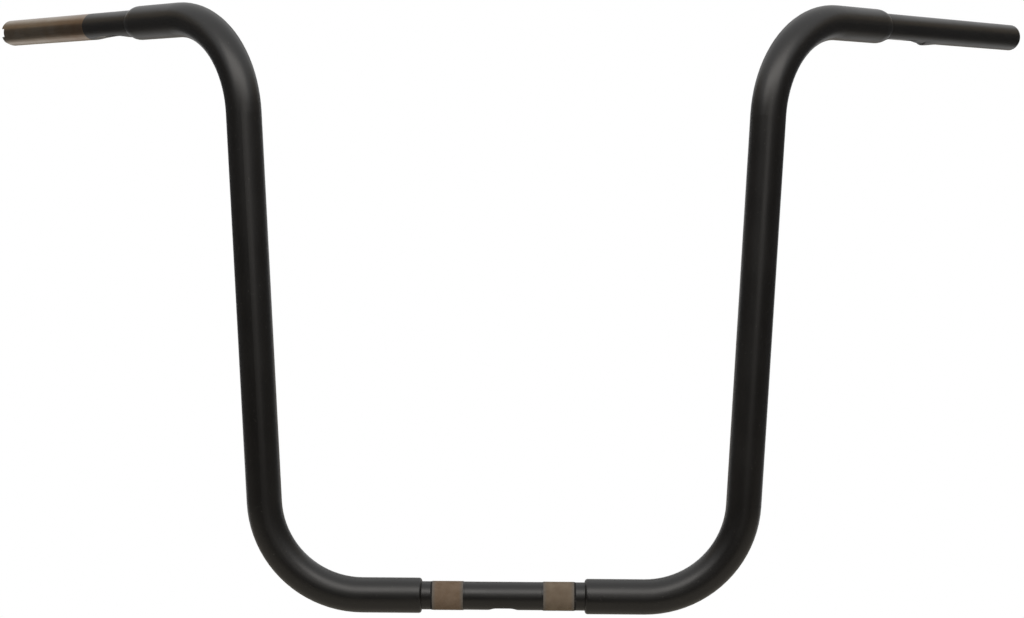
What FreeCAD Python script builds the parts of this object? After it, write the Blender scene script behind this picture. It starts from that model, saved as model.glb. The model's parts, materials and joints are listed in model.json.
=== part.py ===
import FreeCAD, Part
import math
import os

import Sketcher

# Touring handlebar: a weldment of five steel tubes, in millimetres and degrees.
# The origin is the middle of the clamp tube's axis. +X runs to the rider's left (the clutch side),
# +Y runs rearward to the rider and +Z is up, with the two risers in the XZ plane.

SIZES = {
    # tube stock: the uprights' bore is smaller than the bar by a land, on which the thinner tubes seat
    "bar_diameter": 25.4,
    "seat_land": 0.225,
    "upright_wall": 3.4,
    "clamp_wall": 3.05,
    "control_wall": 2.4,
    # each end that enters an upright is turned down to slip into its bore
    "slip_clearance": 0.1,
    "lead_in": 1.0,
    # clamp tube
    "clamp_span": 147.6,
    "clamp_spigot": 42.0,
    "band_spacing": 100.4,
    "band_width": 27.8,
    "band_proud": 0.2,
    "slot_length": 28.0,
    "slot_width": 16.0,
    # upright, as a tube bender reads it: runs, bends and the roll between the two bend planes
    "foot_run": 53.9,
    "foot_land": 0.2,
    "mouth_gap": 0.3,
    "mouth_depth": 1.2,
    "lower_bend_radius": 88.9,
    "lower_bend_angle": 87.3,
    "riser_run": 350.4,
    "sweep_angle": 43.0,
    "upper_bend_radius": 88.9,
    "upper_bend_angle": 88.2,
    "shoulder_run": 70.6,
    "shoulder_length": 11.5,
    # control tubes
    "control_length": 212.5,
    "control_spigot": 42.0,
    "throttle_rim_radius": 0.6,
    "clutch_rim_land": 0.4,
    # pressed hollow and wire hole under the throttle control tube
    "throttle_hollow_start": 5.0,
    "throttle_hollow_length": 60.0,
    "throttle_hollow_depth": 2.7,
    # pressed hollow and wire hole under the clutch control tube
    "clutch_hollow_start": 0.5,
    "clutch_hollow_length": 59.0,
    "clutch_hollow_depth": 2.0,
    "clutch_inner_ramp": 4.0,
    "clutch_outer_ramp": 5.0,
    "wire_hole_length": 20.0,
    "wire_hole_width": 10.0,
    # throttle sensor seat in the open end
    "sensor_bore_diameter": 21.2,
    "sensor_bore_depth": 65.0,
    "index_notch_width": 8.0,
    "index_notch_depth": 4.5,
    "scallop_width": 19.0,
    "scallop_depth": 4.3,
    # how far a cut runs past the surface it leaves by
    "overrun": 2.0,
}

# Radii that several pieces share
BAR = "(Sizes.bar_diameter / 2)"
UPRIGHT_BORE = f"({BAR} - Sizes.seat_land)"
UPRIGHT = f"({UPRIGHT_BORE} + Sizes.upright_wall)"
MOUTH = f"({BAR} + Sizes.mouth_gap)"
SPIGOT = f"({UPRIGHT_BORE} - Sizes.slip_clearance)"
CLAMP_BORE = f"({BAR} - Sizes.clamp_wall)"
CONTROL_BORE = f"({BAR} - Sizes.control_wall)"
SENSOR_BORE = "(Sizes.sensor_bore_diameter / 2)"

doc = FreeCAD.newDocument("Handlebar")
sheet = doc.addObject("Spreadsheet::Sheet", "Sizes")
for row, (alias, size) in enumerate(SIZES.items(), start=1):
    sheet.set(f"A{row}", alias)
    sheet.set(f"B{row}", str(size))
    sheet.setAlias(f"B{row}", alias)
doc.recompute()


def value(expression):
    """The number, or placement, that an expression of the sheet's sizes gives now."""
    return sheet.evalExpression(expression)


# Moves along a tube. In each frame x runs along the tube, and a bend turns x towards z.
def move(x, y, z, axis, angle):
    return f"placement(vector({x}; {y}; {z}); rotation(vector({axis}); {angle}))"


def advance(run):
    return move(run, 0, 0, "1; 0; 0", 0)


def roll(angle):
    return move(0, 0, 0, "1; 0; 0", angle)


def bend(radius, angle):
    return move(f"{radius} * sin({angle})", 0, f"{radius} * (1 - cos({angle}))", "0; 1; 0", f"-({angle})")


def chain(*moves):
    return " * ".join(moves)


HERE = advance(0)
# Turns a sketch so that its normal runs along the tube and its own x and y become the frame's y and z
ACROSS = move(0, 0, 0, "1; 1; 1", 120)


def new_sketch(body, name, role="XY_Plane", offset=HERE):
    """An empty sketch on one of the body's own planes, carried on from there by the offset."""
    sketch = body.newObject("Sketcher::SketchObject", name)
    plane = next(feature for feature in body.Origin.OriginFeatures if feature.Role == role)
    sketch.AttachmentSupport = [(plane, "")]
    sketch.MapMode = "FlatFace"
    sketch.setExpression("AttachmentOffset", offset)
    return sketch


def constrain(sketch, expression, kind, *where):
    """A dimension on the sketch that follows an expression."""
    index = sketch.addConstraint(Sketcher.Constraint(kind, *where, value(expression)))
    sketch.setExpression(f"Constraints[{index}]", expression)


def arc_between(start, end, radius):
    """The shorter arc from start to end: a positive radius turns left and a negative one turns right."""
    chord = end - start
    across = FreeCAD.Vector(-chord.y, chord.x, 0).normalize()
    reach = math.sqrt(max(radius**2 - (chord.Length / 2) ** 2, 0))
    centre = start + chord * 0.5 + across * math.copysign(reach, radius)
    circle = Part.Circle(centre, FreeCAD.Vector(0, 0, 1), abs(radius))
    first, last = (start, end) if radius > 0 else (end, start)
    angles = [math.atan2(point.y - centre.y, point.x - centre.x) for point in (first, last)]
    return Part.ArcOfCircle(circle, *angles)


def outline(sketch, corners):
    """Closed outline through corners, each an (x, y) pair of expressions.

    A third item is the radius of the arc that runs from that corner to the next, with its turn as its sign.
    """
    points = [FreeCAD.Vector(value(corner[0]), value(corner[1]), 0) for corner in corners]
    heads, tails = [], []
    for index, corner in enumerate(corners):
        start, end = points[index], points[(index + 1) % len(points)]
        head, tail = 1, 2
        if len(corner) == 3:
            radius = value(corner[2])
            edge = sketch.addGeometry(arc_between(start, end, radius), False)
            if radius < 0:
                head, tail = tail, head
        else:
            edge = sketch.addGeometry(Part.LineSegment(start, end), False)
        heads.append((edge, head))
        tails.append((edge, tail))
    for index, tail in enumerate(tails):
        sketch.addConstraint(Sketcher.Constraint("Coincident", *tail, *heads[(index + 1) % len(heads)]))
    for corner, head in zip(corners, heads):
        constrain(sketch, corner[0], "DistanceX", *head)
        constrain(sketch, corner[1], "DistanceY", *head)
        if len(corner) == 3:
            constrain(sketch, f"abs({corner[2]})", "Radius", head[0])
    return sketch


def ring(sketch, outer, inner):
    """Two circles about the sketch's origin: the section of a tube."""
    for radius in (outer, inner):
        circle = Part.Circle(FreeCAD.Vector(0, 0, 0), FreeCAD.Vector(0, 0, 1), value(radius))
        edge = sketch.addGeometry(circle, False)
        sketch.addConstraint(Sketcher.Constraint("Coincident", edge, 3, -1, 1))
        constrain(sketch, radius, "Radius", edge)
    return sketch


def bend_axis(sketch, radius):
    """A construction line across the sketch, a bend radius above its origin."""
    height = value(radius)
    line = Part.LineSegment(FreeCAD.Vector(height, height, 0), FreeCAD.Vector(-height, height, 0))
    edge = sketch.addGeometry(line, True)
    for end, across in ((1, radius), (2, f"-{radius}")):
        constrain(sketch, across, "DistanceX", edge, end)
        constrain(sketch, radius, "DistanceY", edge, end)


def spin(body, sketch, name, axis="H_Axis", angle="360"):
    """Revolve the sketch about one of its own axes."""
    feature = body.newObject("PartDesign::Revolution", name)
    feature.Profile = sketch
    feature.ReferenceAxis = (sketch, [axis])
    feature.setExpression("Angle", angle)
    return feature


def pad(body, sketch, name, length):
    feature = body.newObject("PartDesign::Pad", name)
    feature.Profile = sketch
    feature.setExpression("Length", length)
    return feature


def pocket(body, sketch, name, length, both_ways=False):
    """Cut the sketch along the side its normal leaves behind, or half the length to each side."""
    feature = body.newObject("PartDesign::Pocket", name)
    feature.Profile = sketch
    feature.setExpression("Length", length)
    feature.Midplane = both_ways
    return feature


def obround(centre, length, width):
    """Corners of a slot along x, whose ends are half circles made of two quarter arcs each."""
    half, round_end = f"({length} / 2)", f"({width} / 2)"
    flat = f"({half} - {round_end})"
    return [
        (f"{centre} - {flat}", f"-{round_end}"),
        (f"{centre} + {flat}", f"-{round_end}", round_end),
        (f"{centre} + {half}", "0", round_end),
        (f"{centre} + {flat}", round_end),
        (f"{centre} - {flat}", round_end, round_end),
        (f"{centre} - {half}", "0", round_end),
    ]


def centre_clamp_tube():
    """Clamp tube: a turned tube with two knurled bands that stand proud, and a slot below for the wires."""
    body = doc.addObject("PartDesign::Body", "centre_clamp_tube")
    step = "(Sizes.clamp_span / 2 + Sizes.mouth_depth)"
    end = f"({step} + Sizes.clamp_spigot)"
    band = f"({BAR} + Sizes.band_proud)"
    band_inner = "(Sizes.band_spacing / 2 - Sizes.band_width / 2)"
    band_outer = "(Sizes.band_spacing / 2 + Sizes.band_width / 2)"
    half = [
        (band_inner, BAR),
        (band_inner, band),
        (band_outer, band),
        (band_outer, BAR),
        (step, BAR),
        (step, SPIGOT),
        (f"{end} - Sizes.lead_in", SPIGOT),
        (end, f"{SPIGOT} - Sizes.lead_in"),
        (end, CLAMP_BORE),
    ]
    other_half = [(f"-({x})", radius) for x, radius in reversed(half)]
    section = outline(new_sketch(body, "clamp_section"), half + other_half)
    spin(body, section, "clamp_turned")
    slot = new_sketch(body, "wire_slot_outline")
    outline(slot, obround("0", "Sizes.slot_length", "Sizes.slot_width"))
    pocket(body, slot, "wire_slot", f"{BAR} + Sizes.band_proud + Sizes.overrun")
    return body


def upright(name, turn):
    """Bent tube from the clamp to a control tube.

    The foot has a rounded edge and a mouth with a narrow gap around the clamp tube, which seats on the
    mouth's floor. The shoulder falls in one long arc to the control tube, as a weld that was dressed
    smooth. The sign of turn tells which way the upper bend rolls out of the plane of the lower one.
    """
    body = doc.addObject("PartDesign::Body", name)
    lower_start = advance("Sizes.foot_run")
    riser_start = chain(lower_start, bend("Sizes.lower_bend_radius", "Sizes.lower_bend_angle"))
    sweep = roll(f"{turn} * (180 - Sizes.sweep_angle)")
    upper_start = chain(riser_start, advance("Sizes.riser_run"), sweep)
    shoulder_start = chain(upper_start, bend("Sizes.upper_bend_radius", "Sizes.upper_bend_angle"))

    foot = new_sketch(body, f"{name}_foot_section")
    foot_face = f"({MOUTH} + Sizes.foot_land)"
    foot_edge = f"({UPRIGHT} - {foot_face})"
    outline(
        foot,
        [
            ("0", MOUTH),
            ("Sizes.mouth_depth", MOUTH),
            ("Sizes.mouth_depth", UPRIGHT_BORE),
            ("Sizes.foot_run", UPRIGHT_BORE),
            ("Sizes.foot_run", UPRIGHT),
            (foot_edge, UPRIGHT, foot_edge),
            ("0", foot_face),
        ],
    )
    spin(body, foot, f"{name}_foot")

    def bent(part, start, radius, angle):
        section = new_sketch(body, f"{name}_{part}_section", offset=chain(start, ACROSS))
        ring(section, UPRIGHT, UPRIGHT_BORE)
        bend_axis(section, radius)
        spin(body, section, f"{name}_{part}", "Axis0", angle)

    bent("lower_bend", lower_start, "Sizes.lower_bend_radius", "Sizes.lower_bend_angle")
    riser = new_sketch(body, f"{name}_riser_section", offset=chain(riser_start, ACROSS))
    pad(body, ring(riser, UPRIGHT, UPRIGHT_BORE), f"{name}_riser", "Sizes.riser_run")
    bent("upper_bend", upper_start, "Sizes.upper_bend_radius", "Sizes.upper_bend_angle")

    drop = f"({UPRIGHT} - {BAR})"
    crown = f"((Sizes.shoulder_length ^ 2 + {drop} ^ 2) / (2 * {drop}))"
    shoulder = new_sketch(body, f"{name}_shoulder_section", offset=shoulder_start)
    outline(
        shoulder,
        [
            ("0", UPRIGHT_BORE),
            ("Sizes.shoulder_run", UPRIGHT_BORE),
            ("Sizes.shoulder_run", BAR, crown),
            ("Sizes.shoulder_run - Sizes.shoulder_length", UPRIGHT),
            ("0", UPRIGHT),
        ],
    )
    spin(body, shoulder, f"{name}_shoulder")
    neck = chain(shoulder_start, advance("Sizes.shoulder_run"))
    return body, neck


def turned_rod(body, rim_radius):
    """The outside of a control tube as a solid rod along x, from its spigot to its rim."""
    section = new_sketch(body, f"{body.Name}_section")
    outline(
        section,
        [
            ("-Sizes.control_spigot", "0"),
            ("Sizes.control_length", "0"),
            ("Sizes.control_length", f"{BAR} - {rim_radius}", rim_radius),
            (f"Sizes.control_length - {rim_radius}", BAR),
            ("0", BAR),
            ("0", SPIGOT),
            ("Sizes.lead_in - Sizes.control_spigot", SPIGOT),
            ("-Sizes.control_spigot", f"{SPIGOT} - Sizes.lead_in"),
        ],
    )
    spin(body, section, f"{body.Name}_turned")


def bored_rod(body, steps):
    """The bore of a control tube as a solid rod: steps gives each radius with the x where it ends."""
    section = new_sketch(body, f"{body.Name}_section")
    start = "(-Sizes.control_spigot - Sizes.overrun)"
    corners = [(start, "0")]
    top = []
    for radius, end in steps:
        top += [(start, radius), (end, radius)]
        start = end
    corners += [(start, "0")] + top[::-1]
    outline(section, corners)
    spin(body, section, f"{body.Name}_bored")


def press(body, hollow, surface):
    """Press the hollow into the underside of a rod whose surface has that radius."""
    profile = new_sketch(body, f"{body.Name}_hollow_profile", "XZ_Plane")
    outline(profile, hollow(surface))
    pocket(body, profile, f"{body.Name}_hollow", "Sizes.bar_diameter + Sizes.overrun", both_ways=True)


def throttle_hollow(surface):
    """Side view of the throttle tube's hollow: one long shallow arc, closed below the tube."""
    start = "Sizes.throttle_hollow_start"
    end = f"({start} + Sizes.throttle_hollow_length)"
    depth = "Sizes.throttle_hollow_depth"
    radius = f"(((Sizes.throttle_hollow_length / 2) ^ 2 + {depth} ^ 2) / (2 * {depth}))"
    below = f"-({surface} + Sizes.overrun)"
    return [
        (start, below),
        (end, below),
        (end, f"-{surface}", radius),
        (start, f"-{surface}"),
    ]


def clutch_hollow(surface):
    """Side view of the clutch tube's hollow: a flat floor between two ramps, closed below the tube."""
    start = "Sizes.clutch_hollow_start"
    end = f"({start} + Sizes.clutch_hollow_length)"
    floor = f"-({surface} - Sizes.clutch_hollow_depth)"
    below = f"-({surface} + Sizes.overrun)"
    return [
        (start, below),
        (end, below),
        (end, f"-{surface}"),
        (f"{end} - Sizes.clutch_outer_ramp", floor),
        (f"{start} + Sizes.clutch_inner_ramp", floor),
        (start, f"-{surface}"),
    ]


def wire_hole(body, centre):
    """Obround hole through the floor of the hollow."""
    hole = new_sketch(body, f"{body.Name}_wire_hole_outline")
    outline(hole, obround(centre, "Sizes.wire_hole_length", "Sizes.wire_hole_width"))
    pocket(body, hole, f"{body.Name}_wire_hole", f"{BAR} + Sizes.overrun")


def sensor_notches(body):
    """Index notches at the front and back of the throttle end, and a round scallop below."""
    end = "Sizes.control_length"
    past = f"({end} + Sizes.overrun)"
    notch = new_sketch(body, "index_notch_profile", "XZ_Plane")
    half = "Sizes.index_notch_width / 2"
    floor = f"{end} - Sizes.index_notch_depth"
    outline(notch, [(floor, f"-{half}"), (past, f"-{half}"), (past, half), (floor, half)])
    pocket(body, notch, "index_notches", "Sizes.bar_diameter + Sizes.overrun", both_ways=True)
    scallop = new_sketch(body, "scallop_profile")
    wide = "(Sizes.scallop_width / 2)"
    deep = "Sizes.scallop_depth"
    radius = f"(({wide} ^ 2 + {deep} ^ 2) / (2 * {deep}))"
    outline(scallop, [(past, f"-{wide}"), (past, wide), (end, wide, radius), (end, f"-{wide}")])
    pocket(body, scallop, "scallop", f"{BAR} + Sizes.overrun")


def control_tube(name, rim_radius, hollow, hole_centre, bore_steps, notched):
    """Control tube: a turned rod less its bore, with the same form pressed into the underside of both."""
    outside = doc.addObject("PartDesign::Body", f"{name}_outside")
    turned_rod(outside, rim_radius)
    press(outside, hollow, BAR)
    wire_hole(outside, hole_centre)
    if notched:
        sensor_notches(outside)
    inside = doc.addObject("PartDesign::Body", f"{name}_inside")
    bored_rod(inside, bore_steps)
    press(inside, hollow, CONTROL_BORE)
    tube = doc.addObject("Part::Cut", name)
    tube.Base = outside
    tube.Tool = inside
    return tube


def build():
    """Make the five tubes and put each in its place on the bar."""
    out_of_end = "(Sizes.control_length + Sizes.overrun)"
    throttle = control_tube(
        "throttle_control_tube",
        "Sizes.throttle_rim_radius",
        throttle_hollow,
        "(Sizes.throttle_hollow_start + Sizes.throttle_hollow_length / 2)",
        [
            (CONTROL_BORE, "(Sizes.control_length - Sizes.sensor_bore_depth)"),
            (SENSOR_BORE, out_of_end),
        ],
        notched=True,
    )
    clutch = control_tube(
        "clutch_control_tube",
        "(Sizes.control_wall - Sizes.clutch_rim_land)",
        clutch_hollow,
        "(Sizes.clutch_hollow_start + Sizes.clutch_hollow_length - Sizes.clutch_outer_ramp"
        " - Sizes.wire_hole_length / 2)",
        [(CONTROL_BORE, out_of_end)],
        notched=False,
    )
    pieces = [centre_clamp_tube(), throttle, clutch]
    for name, tube, turn, heading in (
        ("throttle_side_upright", throttle, 1, 180),
        ("clutch_side_upright", clutch, -1, 0),
    ):
        body, neck = upright(name, turn)
        foot = chain(move(0, 0, 0, "0; 0; 1", heading), advance("Sizes.clamp_span / 2"))
        body.setExpression("Placement", foot)
        tube.setExpression("Placement", chain(foot, neck, roll(180)))
        pieces.append(body)
    return pieces


def check(pieces):
    """Stop if anything in the document failed or a piece isn't one valid solid."""
    for item in doc.Objects:
        if "Invalid" in item.State or "Error" in item.State:
            raise RuntimeError(f"{item.Label} failed: {item.State}")
    for piece in pieces:
        shape = piece.Shape
        if shape.isNull() or not shape.isValid() or len(shape.Solids) != 1:
            raise RuntimeError(f"{piece.Label} is not one valid solid")


pieces = build()
doc.recompute()
check(pieces)
os.makedirs("parts", exist_ok=True)
for piece in pieces:
    piece.Shape.exportStep(f"parts/{piece.Label}.step")
    box = piece.Shape.BoundBox
    print(f"{piece.Label}: {piece.Shape.Volume:.0f} mm3, X {box.XMin:.1f} to {box.XMax:.1f},"
          f" Y {box.YMin:.1f} to {box.YMax:.1f}, Z {box.ZMin:.1f} to {box.ZMax:.1f}")
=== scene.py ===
import json
import logging
import math
from collections.abc import Sequence
from dataclasses import dataclass
from enum import Enum
from typing import Any

import bmesh
import bpy
from mathutils import Matrix, Vector, noise


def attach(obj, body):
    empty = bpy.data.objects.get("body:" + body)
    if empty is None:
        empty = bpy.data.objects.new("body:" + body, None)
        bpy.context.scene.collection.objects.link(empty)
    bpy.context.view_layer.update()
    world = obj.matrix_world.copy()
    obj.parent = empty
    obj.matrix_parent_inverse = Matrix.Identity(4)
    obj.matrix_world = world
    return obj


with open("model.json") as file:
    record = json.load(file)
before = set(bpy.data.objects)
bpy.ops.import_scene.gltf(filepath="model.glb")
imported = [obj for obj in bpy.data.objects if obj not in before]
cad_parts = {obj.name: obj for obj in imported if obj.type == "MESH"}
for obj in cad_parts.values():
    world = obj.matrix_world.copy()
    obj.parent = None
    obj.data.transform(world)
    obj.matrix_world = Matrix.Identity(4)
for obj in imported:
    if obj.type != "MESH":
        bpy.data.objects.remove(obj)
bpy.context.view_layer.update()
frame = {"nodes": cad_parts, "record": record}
LOG = logging.getLogger("handlebar")
MM = 0.001
BODY = "root"

# The radius of the clamp tube and of both control tubes, in millimetres
BAR_RADIUS = 12.7
# How far the bends of an upright roll a control tube about its own axis
BEND_ROLL_DEG = 1.84

# A colour Mix node's sockets share their names, so they go by number
MIX_BY, MIX_FROM, MIX_TO, MIXED = 0, 6, 7, 2
# How many layers a noise pattern has, from a smooth one to a broken one
SMOOTH, UNEVEN, MOTTLED, BROKEN = 1.0, 2.0, 3.0, 4.0
# Most of a noise pattern's values lie between these two
NOISE_LOW, NOISE_HIGH = 0.3, 0.7

# Short names for types: a face holds its points' numbers, and a span runs from one value to another
Face = tuple[int, ...]
Place = tuple[float, float, float]
Span = tuple[float, float]
Material = bpy.types.Material
Socket = bpy.types.NodeSocket
Tree = bpy.types.NodeTree


class Slot(Enum):
    """The record's material slots."""

    COATED = "powder_coated_steel"
    CLAMP = "coated_clamp_steel"
    THROTTLE = "bare_throttle_steel"


class TwoWay(Enum):
    """A choice of two, with a sign for each."""

    @property
    def word(self) -> str:
        """The choice, as names have it."""
        return self.name.lower()


class Hand(TwoWay):
    """The two sides of the bar, with the sign of X at each."""

    THROTTLE = -1
    CLUTCH = 1


class BandEnd(TwoWay):
    """The two ends of a clamp band: towards the bar's middle, and towards the upright."""

    INNER = -1
    OUTER = 1


class RoomSide(TwoWay):
    """The two sides of the studio, with the sign of X at each."""

    LEFT = -1
    RIGHT = 1


def linear(colour: str) -> tuple[float, float, float, float]:
    """Turn an sRGB hex colour into the linear values that a shader takes.

    Args:
        colour: The colour as #rrggbb.

    Returns:
        Linear red, green and blue, with an alpha of 1.
    """
    parts = [int(colour[i:i + 2], 16) / 255 for i in (1, 3, 5)]
    # the sRGB curve: straight near black, and a power from there on
    red, green, blue = (c / 12.92 if c <= 0.04045 else ((c + 0.055) / 1.055) ** 2.4 for c in parts)
    return red, green, blue, 1.0


def add(tree: Tree, kind: str, inputs: dict[str | int, Any] | None = None, **settings: Any) -> bpy.types.Node:
    """Add a node to a tree with its settings, values and links.

    Args:
        tree: The node tree.
        kind: The node's type name.
        inputs: A value, or another node's output to link, for each input by name or number.
        settings: The node's own properties.

    Returns:
        The new node.
    """
    node = tree.nodes.new(kind)
    for name, value in settings.items():
        setattr(node, name, value)
    for key, value in (inputs or {}).items():
        if isinstance(value, Socket):
            tree.links.new(value, node.inputs[key])
        else:
            node.inputs[key].default_value = value
    return node


def ease(share: float) -> float:
    """Go from 0 to 1 as the share does, with level ends."""
    share = min(max(share, 0.0), 1.0)
    return share * share * (3 - 2 * share)


def strips(order: Sequence[int], columns: int) -> list[Face]:
    """Join closed rows of points, which are listed row by row, with four-sided faces.

    Args:
        order: The rows' numbers, each to be joined to the one after it.
        columns: Points in each row.

    Returns:
        The faces.
    """
    faces = []
    for row, other in zip(order, order[1:]):
        low, high = row * columns, other * columns
        for column in range(columns):
            after = (column + 1) % columns
            faces.append((low + column, low + after, high + after, high + column))
    return faces


def dress(piece: bpy.types.Object, finish: Material) -> None:
    """Give a piece, or a solid from the frame, its finish.

    Args:
        piece: The object.
        finish: The material for all of it.
    """
    if piece.material_slots:
        piece.material_slots[0].material = finish
    else:
        piece.data.materials.append(finish)
    LOG.info("dressed %s in %s", piece.name, finish.name)


def new_piece(
    name: str, points: list[Vector], faces: list[Face], finish: Material, soft_edges: bool
) -> None:
    """Make a piece that rides on the bar.

    Args:
        name: The piece's name.
        points: Its points, in metres.
        faces: Its faces, by the points' numbers.
        finish: Its material.
        soft_edges: True for a rounded surface, False for a faceted one.
    """
    mesh = bpy.data.meshes.new(name)
    mesh.from_pydata([tuple(point) for point in points], [], faces)
    shell = bmesh.new()
    shell.from_mesh(mesh)
    bmesh.ops.recalc_face_normals(shell, faces=shell.faces)
    shell.to_mesh(mesh)
    shell.free()
    mesh.polygons.foreach_set("use_smooth", [soft_edges] * len(mesh.polygons))
    piece = bpy.data.objects.new(name, mesh)
    bpy.context.scene.collection.objects.link(piece)
    dress(piece, finish)
    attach(piece, BODY)
    LOG.info("built %s with %d faces", name, len(faces))


@dataclass(frozen=True)
class TubeFrame:
    """Where a control tube starts and how it lies."""

    start: Vector
    along: Vector
    up: Vector

    @classmethod
    def of_mount(cls, name: str, hand: Hand) -> "TubeFrame":
        """Read a control tube's frame from the mount that it carries.

        Args:
            name: The mount's name in the record.
            hand: The side of the bar.

        Returns:
            The frame, which starts at the tube's neck.
        """
        mount = next(m for m in frame["record"]["mounts"] if m["name"] == name)
        along = Vector(mount["axis"]).normalized()
        start = Vector(mount["pos_m"]) - along * mount["dims"]["length_mm"] * MM / 2
        level = (Vector((0, 0, 1)) - along * along.z).normalized()
        roll = Matrix.Rotation(math.radians(hand.value * BEND_ROLL_DEG), 3, along)
        return cls(start, along, roll @ level)

    def point(self, run: float, radius: float, turn: float) -> Vector:
        """A point in metres on the tube.

        Args:
            run: Millimetres along the tube from its neck.
            radius: Millimetres from its axis.
            turn: Radians about the axis from the underside.

        Returns:
            The point in the part's frame.
        """
        side = self.along.cross(self.up)
        spoke = math.sin(turn) * side - math.cos(turn) * self.up
        return self.start + MM * (run * self.along + radius * spoke)

    def to_local_mm(self) -> Matrix:
        """The move from the part's millimetres to this tube's own, with x along the tube and z up."""
        turn = Matrix((self.along, self.up.cross(self.along), self.up))
        return Matrix.Translation(turn @ self.start / -MM) @ turn.to_4x4()


@dataclass(frozen=True)
class Layer:
    """What a finish gives to a shader."""

    colour: Socket
    roughness: Socket
    height: Socket
    metallic: float | Socket


class Finish:
    """A surface finish, as procedural nodes laid out in millimetres."""

    name: str
    relief_mm: float

    def layer(self, tree: Tree, place: Socket) -> Layer:
        """Add the finish's nodes to a tree.

        Args:
            tree: The material's nodes.
            place: Coordinates in millimetres.

        Returns:
            The finish's layer.
        """
        raise NotImplementedError

    def material(self, to_local: Matrix | None = None) -> Material:
        """Make the finish's material.

        Args:
            to_local: The move from the part's millimetres to the pattern's own, if it has its own.

        Returns:
            The material.
        """
        material = bpy.data.materials.new(self.name)
        material.use_nodes = True
        tree = material.node_tree
        tree.nodes.clear()
        move = to_local or Matrix.Identity(4)
        where = add(tree, "ShaderNodeTexCoord")
        place = add(tree, "ShaderNodeMapping", {
            "Vector": where.outputs["Object"], "Scale": (1 / MM, 1 / MM, 1 / MM),
            "Rotation": move.to_euler(), "Location": move.to_translation()})
        layer = self.layer(tree, place.outputs["Vector"])
        bump = add(tree, "ShaderNodeBump", {"Height": layer.height, "Distance": self.relief_mm * MM})
        shader = add(tree, "ShaderNodeBsdfPrincipled", {
            "Base Color": layer.colour, "Roughness": layer.roughness, "Metallic": layer.metallic,
            "Normal": bump.outputs["Normal"]})
        add(tree, "ShaderNodeOutputMaterial", {"Surface": shader.outputs["BSDF"]})
        return material


@dataclass(frozen=True)
class PowderCoat(Finish):
    """Polyester powder coat, sprayed and baked on steel."""

    # a satin resin film: near black, with a broad soft sheen, a faint orange peel and a few dust nibs
    name: str = "satin_black_powder_coat"
    colour: str = "#0b0a0a"
    thin_colour: str = "#100f0e"
    nib_colour: str = "#2b2a28"
    roughness: Span = (0.35, 0.41)
    mottle_mm: float = 38.0
    # only the peaks of the noise are nibs
    nib_mm: float = 2.4
    nib_span: Span = (0.72, 0.8)
    # the real peel is about 1.5 mm wide, and is drawn wider so that it shows
    peel_mm: float = 3.2
    relief_mm: float = 0.03

    def layer(self, tree: Tree, place: Socket) -> Layer:
        """Add the film with its mottle, its nibs and its peel.

        Args:
            tree: The material's nodes.
            place: Coordinates in millimetres.

        Returns:
            The film's layer.
        """
        mottle = add(tree, "ShaderNodeTexNoise", {
            "Vector": place, "Scale": 1 / self.mottle_mm, "Detail": MOTTLED})
        film = add(tree, "ShaderNodeMix", {
            MIX_BY: mottle.outputs["Fac"], MIX_FROM: linear(self.colour), MIX_TO: linear(self.thin_colour)},
            data_type="RGBA")
        nibs = add(tree, "ShaderNodeTexNoise", {
            "Vector": place, "Scale": 1 / self.nib_mm, "Detail": SMOOTH})
        few = add(tree, "ShaderNodeMapRange", {
            "Value": nibs.outputs["Fac"], "From Min": self.nib_span[0], "From Max": self.nib_span[1]})
        colour = add(tree, "ShaderNodeMix", {
            MIX_BY: few.outputs["Result"], MIX_FROM: film.outputs[MIXED], MIX_TO: linear(self.nib_colour)},
            data_type="RGBA")
        gloss = add(tree, "ShaderNodeMapRange", {
            "Value": mottle.outputs["Fac"], "From Min": NOISE_LOW, "From Max": NOISE_HIGH,
            "To Min": self.roughness[0], "To Max": self.roughness[1]})
        peel = add(tree, "ShaderNodeTexNoise", {
            "Vector": place, "Scale": 1 / self.peel_mm, "Detail": SMOOTH})
        return Layer(
            colour=colour.outputs[MIXED], roughness=gloss.outputs["Result"], height=peel.outputs["Fac"],
            metallic=0.0)


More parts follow.
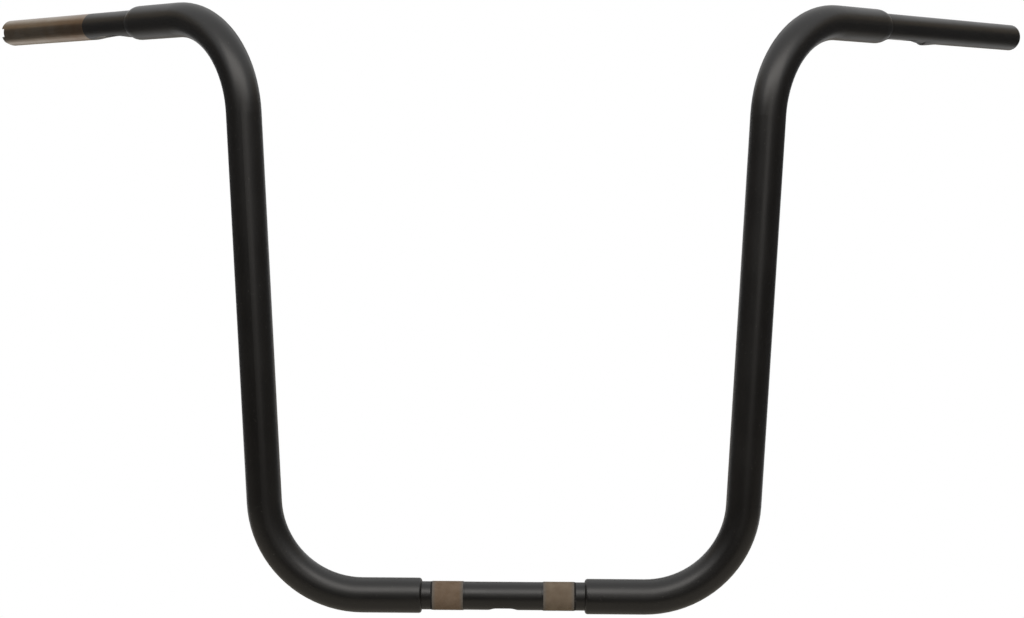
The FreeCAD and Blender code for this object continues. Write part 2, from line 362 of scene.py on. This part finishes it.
@dataclass(frozen=True)
class DrawnSteel(Finish):
    """Mild steel tube, drawn through a die, left bare and oiled."""

    # a grey metal with fine lines along the tube and a brown cast from the oil, most next to the baked coat
    name: str = "oiled_drawn_steel"
    colour: str = "#8d8274"
    brown: str = "#7c6754"
    roughness: Span = (0.28, 0.4)
    line_length_mm: float = 70.0
    # the real lines are about 0.1 mm apart, and are drawn wider so that they show
    line_width_mm: float = 0.9
    line_relief: float = 0.3
    relief_mm: float = 0.03
    stain_mm: float = 16.0
    stain_span: Span = (0.35, 0.7)
    stain_share: float = 0.5
    # the oven browned the oil, most next to the coat and less along the tube
    baked_mm: Span = (70.0, 143.0)
    baked_share: float = 0.55

    def layer(self, tree: Tree, place: Socket) -> Layer:
        """Add the bare metal with its draw lines and its stain.

        Args:
            tree: The material's nodes.
            place: Coordinates in millimetres, with x along the tube from its neck.

        Returns:
            The metal's layer.
        """
        across = 1 / self.line_width_mm
        drawn = add(tree, "ShaderNodeVectorMath", {
            0: place, 1: (1 / self.line_length_mm, across, across)}, operation="MULTIPLY")
        lines = add(tree, "ShaderNodeTexNoise", {
            "Vector": drawn.outputs["Vector"], "Scale": 1.0, "Detail": UNEVEN})
        blotch = add(tree, "ShaderNodeTexNoise", {
            "Vector": place, "Scale": 1 / self.stain_mm, "Detail": MOTTLED})
        along = add(tree, "ShaderNodeSeparateXYZ", {"Vector": place})
        baked = add(tree, "ShaderNodeMapRange", {
            "Value": along.outputs["X"], "From Min": self.baked_mm[0], "From Max": self.baked_mm[1],
            "To Min": self.baked_share, "To Max": 0.0}, interpolation_type="SMOOTHSTEP")
        oil = add(tree, "ShaderNodeMapRange", {
            "Value": blotch.outputs["Fac"], "From Min": self.stain_span[0], "From Max": self.stain_span[1],
            "To Min": 0.0, "To Max": self.stain_share})
        stain = add(tree, "ShaderNodeMath", {
            0: baked.outputs["Result"], 1: oil.outputs["Result"]}, operation="ADD")
        colour = add(tree, "ShaderNodeMix", {
            MIX_BY: stain.outputs["Value"], MIX_FROM: linear(self.colour), MIX_TO: linear(self.brown)},
            data_type="RGBA")
        gloss = add(tree, "ShaderNodeMapRange", {
            "Value": lines.outputs["Fac"], "From Min": NOISE_LOW, "From Max": NOISE_HIGH,
            "To Min": self.roughness[0], "To Max": self.roughness[1]})
        height = add(tree, "ShaderNodeMath", {
            0: lines.outputs["Fac"], 1: self.line_relief}, operation="MULTIPLY")
        return Layer(
            colour=colour.outputs[MIXED], roughness=gloss.outputs["Result"], height=height.outputs["Value"],
            metallic=1.0)


@dataclass(frozen=True)
class KnurledSteel(Finish):
    """Mild steel, knurled with a pair of wheels and left bare."""

    # the points scatter the light, so the band looks flat and dull, with brown oil in its valleys
    name: str
    colour: str
    brown: str
    band_middle_mm: float
    band_half_mm: float
    # the ends of each band turn a plainer grey, with less brown
    end_grey: str = "#78726b"
    end_grey_mm: float = 4.0
    # the film of oil and oxide is no metal, and scatters part of the light
    metallic: float = 0.55
    roughness: Span = (0.72, 0.82)
    stain_mm: float = 8.0
    stain_span: Span = (0.35, 0.65)
    # the real grit is about 0.2 mm across, and is drawn coarser so that it shows
    grit_mm: float = 0.8
    relief_mm: float = 0.02

    def layer(self, tree: Tree, place: Socket) -> Layer:
        """Add the bare metal with its stain, its grey ends and its grit.

        Args:
            tree: The material's nodes.
            place: Coordinates in millimetres, with x along the clamp tube from its middle.

        Returns:
            The metal's layer.
        """
        blotch = add(tree, "ShaderNodeTexNoise", {
            "Vector": place, "Scale": 1 / self.stain_mm, "Detail": BROKEN})
        stain = add(tree, "ShaderNodeMapRange", {
            "Value": blotch.outputs["Fac"], "From Min": self.stain_span[0], "From Max": self.stain_span[1]})
        oiled = add(tree, "ShaderNodeMix", {
            MIX_BY: stain.outputs["Result"], MIX_FROM: linear(self.colour), MIX_TO: linear(self.brown)},
            data_type="RGBA")
        along = add(tree, "ShaderNodeSeparateXYZ", {"Vector": place})
        outward = add(tree, "ShaderNodeMath", {0: along.outputs["X"]}, operation="ABSOLUTE")
        offset = add(tree, "ShaderNodeMath", {
            0: outward.outputs["Value"], 1: self.band_middle_mm}, operation="SUBTRACT")
        away = add(tree, "ShaderNodeMath", {0: offset.outputs["Value"]}, operation="ABSOLUTE")
        # the last few millimetres at each end of the band go over to a plainer grey
        at_ends = add(tree, "ShaderNodeMapRange", {
            "Value": away.outputs["Value"], "From Min": self.band_half_mm - self.end_grey_mm,
            "From Max": self.band_half_mm}, interpolation_type="SMOOTHSTEP")
        colour = add(tree, "ShaderNodeMix", {
            MIX_BY: at_ends.outputs["Result"], MIX_FROM: oiled.outputs[MIXED], MIX_TO: linear(self.end_grey)},
            data_type="RGBA")
        gloss = add(tree, "ShaderNodeMapRange", {
            "Value": blotch.outputs["Fac"], "From Min": NOISE_LOW, "From Max": NOISE_HIGH,
            "To Min": self.roughness[0], "To Max": self.roughness[1]})
        grit = add(tree, "ShaderNodeTexNoise", {
            "Vector": place, "Scale": 1 / self.grit_mm, "Detail": SMOOTH})
        return Layer(
            colour=colour.outputs[MIXED], roughness=gloss.outputs["Result"], height=grit.outputs["Fac"],
            metallic=self.metallic)


@dataclass(frozen=True)
class CoatToALine(Finish):
    """A tube coated up to a masked line and bare from there on."""

    # tape was wound round the tube before the spray, so the film ends in a ring that wavers a little
    coat: PowderCoat
    steel: DrawnSteel
    name: str = "drawn_steel_with_masked_powder_coat"
    line_mm: float = 68.4
    waver_mm: float = 2.2
    waver_size_mm: float = 9.0
    fade_mm: float = 0.7
    relief_mm: float = 0.03

    def layer(self, tree: Tree, place: Socket) -> Layer:
        """Add both finishes and pass from one to the other at the line.

        Args:
            tree: The material's nodes.
            place: Coordinates in millimetres, with x along the tube from its neck.

        Returns:
            The layer of the two together.
        """
        film, metal = self.coat.layer(tree, place), self.steel.layer(tree, place)
        waver = add(tree, "ShaderNodeTexNoise", {
            "Vector": place, "Scale": 1 / self.waver_size_mm, "Detail": UNEVEN})
        shift = add(tree, "ShaderNodeMath", {
            0: waver.outputs["Fac"], 1: self.waver_mm, 2: -self.waver_mm / 2}, operation="MULTIPLY_ADD")
        along = add(tree, "ShaderNodeSeparateXYZ", {"Vector": place})
        run = add(tree, "ShaderNodeMath", {
            0: along.outputs["X"], 1: shift.outputs["Value"]}, operation="ADD")
        bare = add(tree, "ShaderNodeMapRange", {
            "Value": run.outputs["Value"], "From Min": self.line_mm - self.fade_mm / 2,
            "From Max": self.line_mm + self.fade_mm / 2}, interpolation_type="SMOOTHSTEP")
        share = bare.outputs["Result"]
        colour = add(tree, "ShaderNodeMix", {
            MIX_BY: share, MIX_FROM: film.colour, MIX_TO: metal.colour}, data_type="RGBA")
        gloss = add(tree, "ShaderNodeMix", {"Factor": share, "A": film.roughness, "B": metal.roughness})
        height = add(tree, "ShaderNodeMix", {"Factor": share, "A": film.height, "B": metal.height})
        return Layer(
            colour=colour.outputs[MIXED], roughness=gloss.outputs["Result"], height=height.outputs["Result"],
            metallic=share)


@dataclass
class ClampTube:
    """The tube in the middle, with its two knurled clamp bands."""

    node: str = "centre_clamp_tube"
    bar_radius: float = BAR_RADIUS
    band_spacing: float = 100.4
    band_width: float = 27.8
    band_radius: float = 12.9
    knurl_pitch: float = 1.2
    knurl_depth: float = 0.22
    seat_overlap: float = 0.05
    fillet_run: float = 1.6
    fillet_height: float = 0.3
    fillet_steps: int = 5
    fillet_columns: int = 96

    @staticmethod
    def ring(x: float, radii: tuple[float, float], columns: int) -> list[Vector]:
        """A closed row of points about the tube's axis.

        Args:
            x: Millimetres along the axis.
            radii: Millimetres from it, at the even points and at the odd ones.
            columns: How many points there are.

        Returns:
            The points, in metres.
        """
        points = []
        for column in range(columns):
            turn = math.tau * column / columns
            radius = radii[column % 2]
            points.append(MM * Vector((x, radius * math.sin(turn), radius * math.cos(turn))))
        return points

    @staticmethod
    def knurl_faces(rows: int, around: int) -> list[Face]:
        """The sides of a knurl's points: four at each, or two at the ends of the band.

        Args:
            rows: How many rows of points and valleys there are.
            around: How many of both there are in a row.

        Returns:
            The faces, three corners each.
        """
        faces = []
        for row in range(rows):
            for column in range(around):
                if (row + column) % 2 == 0:
                    continue
                centre = row * around + column
                before = row * around + (column - 1) % around
                after = row * around + (column + 1) % around
                if row + 1 < rows:
                    above = centre + around
                    faces += [(centre, after, above), (centre, above, before)]
                if row > 0:
                    below = centre - around
                    faces += [(centre, before, below), (centre, below, after)]
        return faces

    def knurl(self, hand: Hand, finish: Material) -> None:
        """Build one band's knurl: rows of four-sided points between crossed valleys.

        Args:
            hand: The side of the bar.
            finish: The band's material.
        """
        step = self.knurl_pitch / 2
        # an even count, so that points and valleys take turns all the way round
        around = 2 * round(math.tau * self.band_radius / step / 2)
        rows = 2 * round(self.band_width / step / 2) + 1
        middle = hand.value * self.band_spacing / 2
        valley, peak = self.band_radius, self.band_radius + self.knurl_depth
        root = self.band_radius - self.seat_overlap
        points = []
        for row in range(rows):
            x = middle + self.band_width * (row / (rows - 1) - 0.5)
            points += self.ring(x, (valley, peak) if row % 2 == 0 else (peak, valley), around)
        for x in (middle + self.band_width / 2, middle - self.band_width / 2):
            points += self.ring(x, (root, root), around)
        faces = self.knurl_faces(rows, around) + strips((rows - 1, rows, rows + 1, 0), around)
        new_piece(f"{hand.word}_clamp_knurl", points, faces, finish, soft_edges=False)

    def coat_edge(self, hand: Hand, end: BandEnd, finish: Material) -> None:
        """Build the fillet of coat that was left against one end of a masked band.

        Args:
            hand: The side of the bar.
            end: The end of the band.
            finish: The coat.
        """
        side = hand.value * end.value
        edge = hand.value * self.band_spacing / 2 + side * self.band_width / 2
        root = self.bar_radius - self.seat_overlap
        profile = [(edge, root)]
        for step in range(self.fillet_steps + 1):
            share = step / self.fillet_steps
            profile.append((edge + side * self.fillet_run * share,
                            self.bar_radius + self.fillet_height * (1 - share) ** 2))
        profile.append((edge + side * self.fillet_run, root))
        points = []
        for x, radius in profile:
            points += self.ring(x, (radius, radius), self.fillet_columns)
        faces = strips([*range(len(profile)), 0], self.fillet_columns)
        name = f"{hand.word}_{end.word}_coat_edge"
        new_piece(name, points, faces, finish, soft_edges=True)

    def band_steel(self, hand: Hand, colour: str, brown: str) -> KnurledSteel:
        """The bare steel of one band.

        Args:
            hand: The side of the bar.
            colour: The steel's colour.
            brown: Its colour where oil has stained it.

        Returns:
            The band's finish.
        """
        return KnurledSteel(
            name=f"{hand.word}_side_knurled_bare_steel", colour=colour, brown=brown,
            band_middle_mm=self.band_spacing / 2, band_half_mm=self.band_width / 2)

    def build(self, coat: Material, torn_coat: Material, bands: dict[Hand, Material]) -> None:
        """Dress the tube and put a knurl on each band, with coat at its ends.

        Args:
            coat: The tube's finish.
            torn_coat: The finish of the bands' outer edges.
            bands: Each band's finish.
        """
        dress(frame["nodes"][self.node], coat)
        for hand, finish in bands.items():
            self.knurl(hand, finish)
            self.coat_edge(hand, BandEnd.INNER, coat)
            self.coat_edge(hand, BandEnd.OUTER, torn_coat)


@dataclass
class Upright:
    """A bent tube, with the dressed weld at its shoulder."""

    node: str
    hand: Hand
    neck: TubeFrame
    tube_radius: float = 15.875
    bar_radius: float = BAR_RADIUS
    shoulder_length: float = 11.5
    seam_back: float = 0.8
    seam_front: float = 0.35
    seam_proud: float = 0.02
    ripple: float = 0.04
    ripple_mm: float = 2.5
    # the underside's lumps, and how sharply they fade out up the sides
    lump: float = 0.2
    lump_run: float = 3.5
    lump_base: float = 0.5
    lump_fade: int = 6
    sunk: float = 0.02
    depth: float = 0.5
    rows: int = 11
    columns: int = 160

    def crown_radius(self, back: float) -> float:
        """The shoulder's radius, on the arc that it falls in.

        Args:
            back: Millimetres back from the shoulder's toe.

        Returns:
            Millimetres from the tube's axis.
        """
        drop = self.tube_radius - self.bar_radius
        arc = (self.shoulder_length ** 2 + drop ** 2) / (2 * drop)
        run = self.shoulder_length - back
        return self.tube_radius - arc + math.sqrt(arc ** 2 - run ** 2)

    def seam(self, finish: Material) -> None:
        """Build the weld's toe: a thin bead that runs out hollow on to the control tube.

        The weld was dressed smooth where it shows and left wider and lumpy on the underside.

        Args:
            finish: The coat over it.
        """
        toe = Vector((self.seam_front, self.bar_radius))
        corner = Vector((0.0, self.bar_radius))
        turns = [math.tau * column / self.columns for column in range(self.columns)]
        points = []
        for row in range(self.rows):
            share = row / (self.rows - 1)
            lift = math.sin(math.pi * share)
            for turn in turns:
                below = max(math.cos(turn), 0.0) ** self.lump_fade
                back = self.seam_back + below * self.lump_run
                heel = Vector((-back, self.crown_radius(back)))
                # a hollow curve, from the heel on the shoulder to the toe on the control tube
                run, radius = (1 - share) ** 2 * heel + 2 * share * (1 - share) * corner + share ** 2 * toe
                wave = noise.noise(self.neck.point(run, radius, turn) / (self.ripple_mm * MM))
                bead = self.seam_proud + self.ripple * wave + below * self.lump * (self.lump_base + wave)
                points.append(self.neck.point(run, radius + bead * lift - self.sunk * (1 - lift), turn))
        root = self.bar_radius - self.depth
        for run in (self.seam_front, -self.seam_back):
            points += [self.neck.point(run, root, turn) for turn in turns]
        faces = strips([*range(self.rows + 2), 0], self.columns)
        new_piece(f"{self.hand.word}_weld_seam", points, faces, finish, soft_edges=True)

    def build(self, coat: Material, weld_coat: Material) -> None:
        """Dress the tube and put the seam on its shoulder.

        Args:
            coat: The tube's finish.
            weld_coat: The seam's finish.
        """
        dress(frame["nodes"][self.node], coat)
        self.seam(weld_coat)


@dataclass(frozen=True)
class WireLip:
    """The lip that the press raised in the tube's wall, just past a wire hole."""

    start: float
    crest: float
    end: float
    height: float
    half_turn_deg: float = 38.0
    sunk: float = 0.04
    depth: float = 0.6
    rows: int = 49
    columns: int = 41
    # above 1, the rows crowd together where the lip is steep
    crowding: float = 1.6

    def build(self, name: str, neck: TubeFrame, bar_radius: float, slot: Slot, finish: Material) -> None:
        """Build the lip: it rises steeply at the hole and fades out along the tube.

        Args:
            name: The piece's name.
            neck: The tube's frame.
            bar_radius: The tube's radius.
            slot: The record's slot of the tube's finish; not used.
            finish: The tube's finish.
        """
        half_turn = math.radians(self.half_turn_deg)
        shares = [2 * column / (self.columns - 1) - 1 for column in range(self.columns)]
        points = []
        for row in range(self.rows):
            run = self.start + (self.end - self.start) * (row / (self.rows - 1)) ** self.crowding
            rise = ease((run - self.start) / (self.crest - self.start))
            fade = 1 - ease((run - self.crest) / (self.end - self.crest))
            for share in shares:
                height = self.height * rise * fade * math.cos(share * math.pi / 2) ** 2 - self.sunk
                points.append(neck.point(run, bar_radius + height, share * half_turn))
            for share in reversed(shares):
                points.append(neck.point(run, bar_radius - self.depth, share * half_turn))
        around = 2 * self.columns
        faces = strips(range(self.rows), around)
        faces += [tuple(range(around)), tuple(range((self.rows - 1) * around, self.rows * around))]
        new_piece(name, points, faces, finish, soft_edges=True)


@dataclass
class ControlTube:
    """A tube for a grip and its controls."""

    node: str
    hand: Hand
    neck: TubeFrame
    slot: Slot
    lip: WireLip | None = None
    bar_radius: float = BAR_RADIUS

    def build(self, finish: Material) -> None:
        """Dress the tube and put its lip, where it has one, on its underside.

        Args:
            finish: The tube's finish.
        """
        dress(frame["nodes"][self.node], finish)
        if self.lip:
            self.lip.build(f"{self.hand.word}_wire_lip", self.neck, self.bar_radius, self.slot, finish)


@dataclass(frozen=True)
class Softbox:
    """A large soft lamp, aimed at a point."""

    name: str
    place: Place
    aim: Place
    width: float
    height: float
    brightness: float
    colour: str

    def build(self) -> None:
        """Put the lamp in the scene: its power gives its face that brightness."""
        lamp = bpy.data.lights.new(self.name, "AREA")
        lamp.shape = "RECTANGLE"
        lamp.size, lamp.size_y = self.width, self.height
        lamp.energy = self.brightness * math.pi * self.width * self.height
        lamp.color = linear(self.colour)[:3]
        holder = bpy.data.objects.new(self.name, lamp)
        bpy.context.scene.collection.objects.link(holder)
        holder.location = self.place
        holder.rotation_euler = (Vector(self.aim) - Vector(self.place)).to_track_quat("-Z", "Y").to_euler()
        LOG.info("lit %s", self.name)


@dataclass(frozen=True)
class Panel:
    """A flat rectangle of the stage, one of whose three spans is a single value.

    It is the floor, or else a flag or a wall, which shows only in a gloss and neither lights the bar nor
    shades it.
    """

    name: str
    x: Span
    y: Span
    z: Span
    colour: str
    seen: bool = False
    roughness: float = 0.9

    def corners(self) -> list[Place]:
        """The rectangle's corners, in order round it."""
        if self.x[0] == self.x[1]:
            return [(self.x[0], self.y[i], self.z[j]) for i, j in ((0, 0), (1, 0), (1, 1), (0, 1))]
        return [(self.x[i], self.y[j], self.z[j]) for i, j in ((0, 0), (1, 0), (1, 1), (0, 1))]

    def build(self) -> None:
        """Put the panel in the scene."""
        mesh = bpy.data.meshes.new(self.name)
        mesh.from_pydata(self.corners(), [], [(0, 1, 2, 3)])
        panel = bpy.data.objects.new(self.name, mesh)
        bpy.context.scene.collection.objects.link(panel)
        panel.visible_camera = panel.visible_diffuse = panel.visible_shadow = self.seen
        material = bpy.data.materials.new(self.name)
        material.use_nodes = True
        tree = material.node_tree
        tree.nodes.clear()
        shader = add(tree, "ShaderNodeBsdfPrincipled", {
            "Base Color": linear(self.colour), "Roughness": self.roughness})
        add(tree, "ShaderNodeOutputMaterial", {"Surface": shader.outputs["BSDF"]})
        dress(panel, material)


@dataclass(frozen=True)
class PhotoCamera:
    """The camera at the photograph's place, angle and focal length."""

    name: str = "photo_camera"
    place_mm: Place = (25.59, -1700.0, 397.68)
    focal_px: float = 1904.0
    image_width_px: int = 1024
    yaw_deg: float = 0.6404
    pitch_deg: float = 4.596
    roll_deg: float = 0.298
    sensor_mm: float = 36.0

    def build(self) -> None:
        """Put the camera in the scene and make it the scene's own."""
        data = bpy.data.cameras.new(self.name)
        data.sensor_fit = "HORIZONTAL"
        data.sensor_width = self.sensor_mm
        data.lens = self.sensor_mm * self.focal_px / self.image_width_px
        camera = bpy.data.objects.new(self.name, data)
        bpy.context.scene.collection.objects.link(camera)
        # right, down and forward for a level camera that looks along +Y
        level = Matrix(((1, 0, 0), (0, 0, -1), (0, 1, 0)))
        turns = ((self.roll_deg, "Z"), (self.pitch_deg, "X"), (self.yaw_deg, "Y"))
        look = Matrix.Identity(3)
        for angle, axis in turns:
            look = look @ Matrix.Rotation(math.radians(angle), 3, axis)
        # a camera object has up and back in place of down and forward
        facing = (look @ level).transposed() @ Matrix.Diagonal((1, -1, -1))
        camera.matrix_world = Matrix.Translation(Vector(self.place_mm) * MM) @ facing.to_4x4()
        bpy.context.scene.camera = camera


@dataclass
class Studio:
    """A white room with a pale floor and soft lamps, laid out in metres.

    The bar is satin black, so what it reflects gives it its form. Flags and walls round the room shape
    those reflections.
    """

    # the heights of the floor and of the flags at the sides, and half the room's width
    floor_level: float = -0.36
    side_top: float = 0.94
    half_width: float = 1.7
    # along Y: the room's front, where its sides change, where they end, and its back
    front: float = -3.2
    side_change: float = -0.2
    side_end: float = 2.0
    back: float = 2.6
    floor_colour: str = "#ded7cb"
    black_cloth: str = "#040404"
    front_side_colour: str = "#605e5c"
    rear_side_colour: str = "#808183"
    wall_colour: str = "#e8d8c2"
    low_back_colour: str = "#ccbba0"
    high_back_colour: str = "#b8b6b2"
    lamp_colour: str = "#fffaf4"
    background: float = 1.0
    ambient: float = 0.4

    def white_room(self) -> None:
        """Make the world: white wherever the camera, a gloss or a glass looks, and dimmer as a light."""
        world = bpy.data.worlds.new("white_room")
        world.use_nodes = True
        tree = world.node_tree
        tree.nodes.clear()
        path = add(tree, "ShaderNodeLightPath")
        looked = path.outputs["Is Camera Ray"]
        for ray in ("Is Glossy Ray", "Is Transmission Ray"):
            either = add(tree, "ShaderNodeMath", {0: looked, 1: path.outputs[ray]}, operation="MAXIMUM")
            looked = either.outputs["Value"]
        strength = add(tree, "ShaderNodeMapRange", {
            "Value": looked, "To Min": self.ambient, "To Max": self.background})
        room = add(tree, "ShaderNodeBackground", {
            "Color": linear("#ffffff"), "Strength": strength.outputs["Result"]})
        add(tree, "ShaderNodeOutputWorld", {"Surface": room.outputs["Background"]})
        bpy.context.scene.world = world

    def panels(self) -> list[Panel]:
        """Lay out the floor, the flags and the walls.

        Returns:
            The panels.
        """
        low, wide = self.floor_level, (-self.half_width, self.half_width)
        front, back = (self.front, self.front), (self.back, self.back)
        fore, aft = (self.front, self.side_change), (self.side_change, self.side_end)
        panels = [
            Panel("floor", x=(-1.8, 1.8), y=(-1.9, 0.9), z=(low, low), colour=self.floor_colour, seen=True),
            Panel("low_flag", x=wide, y=(-0.85, -0.85), z=(low, 0.1), colour=self.black_cloth),
            Panel("front_flag", x=wide, y=front, z=(low, 2.1), colour=self.black_cloth),
            Panel("high_back_flag", x=(-0.6, 0.6), y=back, z=(0.8, 1.7), colour=self.high_back_colour),
        ]
        for side in RoomSide:
            name, sign = side.word, side.value
            edge = (sign * self.half_width, sign * self.half_width)
            panels += [
                Panel(f"{name}_front_flag", x=edge, y=fore, z=(low, 1.14), colour=self.front_side_colour),
                Panel(f"{name}_side_flag", x=edge, y=aft, z=(low, self.side_top),
                      colour=self.rear_side_colour),
                Panel(f"{name}_wall", x=edge, y=aft, z=(self.side_top, 1.54), colour=self.wall_colour),
                Panel(f"{name}_back_flag", x=(sign * 0.95, sign * 1.9), y=back, z=(0.3, 1.0),
                      colour=self.black_cloth),
                Panel(f"{name}_low_back_flag", x=(sign * 0.5, sign * 1.5), y=back, z=(-0.9, 0.05),
                      colour=self.low_back_colour),
            ]
        return panels

    def lamps(self) -> list[Softbox]:
        """Lay out the lamps: a broad one above the front and a weaker one ahead.

        Returns:
            The lamps.
        """
        return [
            Softbox("key_softbox", place=(0.0, -1.2, 1.35), aim=(0.0, 0.0, 0.25), width=2.2, height=0.9,
                    brightness=2.8, colour=self.lamp_colour),
            Softbox("front_softbox", place=(0.45, -2.6, 0.6), aim=(0.0, 0.0, 0.3), width=1.0, height=1.2,
                    brightness=1.25, colour=self.lamp_colour),
        ]

    def build(self) -> None:
        """Build the room, its panels, its lamps and the camera."""
        self.white_room()
        for fitting in (*self.panels(), *self.lamps(), PhotoCamera()):
            fitting.build()
        bpy.context.scene.view_settings.view_transform = "Standard"


def main() -> None:
    """Dress the bar, add its fine detail and set it in the studio."""
    logging.basicConfig(level=logging.INFO, format="%(message)s")
    throttle = TubeFrame.of_mount("throttle_seat", Hand.THROTTLE)
    clutch = TubeFrame.of_mount("clutch_seat", Hand.CLUTCH)
    coat = PowderCoat()
    coated = coat.material()
    # the film tore along the tape there, which left its edge dull
    torn_coat = PowderCoat(name="torn_powder_coat_edge", roughness=(0.85, 0.95)).material()
    # the weld was dressed with a coarse disc, and the film over it is duller for that
    weld_coat = PowderCoat(name="powder_coat_over_dressed_weld", roughness=(0.6, 0.7)).material()
    masked = CoatToALine(coat, DrawnSteel()).material(throttle.to_local_mm())
    clamp_tube = ClampTube()
    clamp_tube.build(coated, torn_coat, {
        Hand.THROTTLE: clamp_tube.band_steel(Hand.THROTTLE, colour="#827160", brown="#7b6957").material(),
        Hand.CLUTCH: clamp_tube.band_steel(Hand.CLUTCH, colour="#827565", brown="#7b6d5d").material()})
    Upright("throttle_side_upright", Hand.THROTTLE, throttle).build(coated, weld_coat)
    Upright("clutch_side_upright", Hand.CLUTCH, clutch, lump=0.6).build(coated, weld_coat)
    ControlTube("throttle_control_tube", Hand.THROTTLE, throttle, Slot.THROTTLE).build(masked)
    lip = WireLip(start=58.5, crest=62.0, end=88.0, height=1.75)
    ControlTube("clutch_control_tube", Hand.CLUTCH, clutch, Slot.COATED, lip).build(coated)
    Studio().build()


if __name__ == "__main__":
    main()
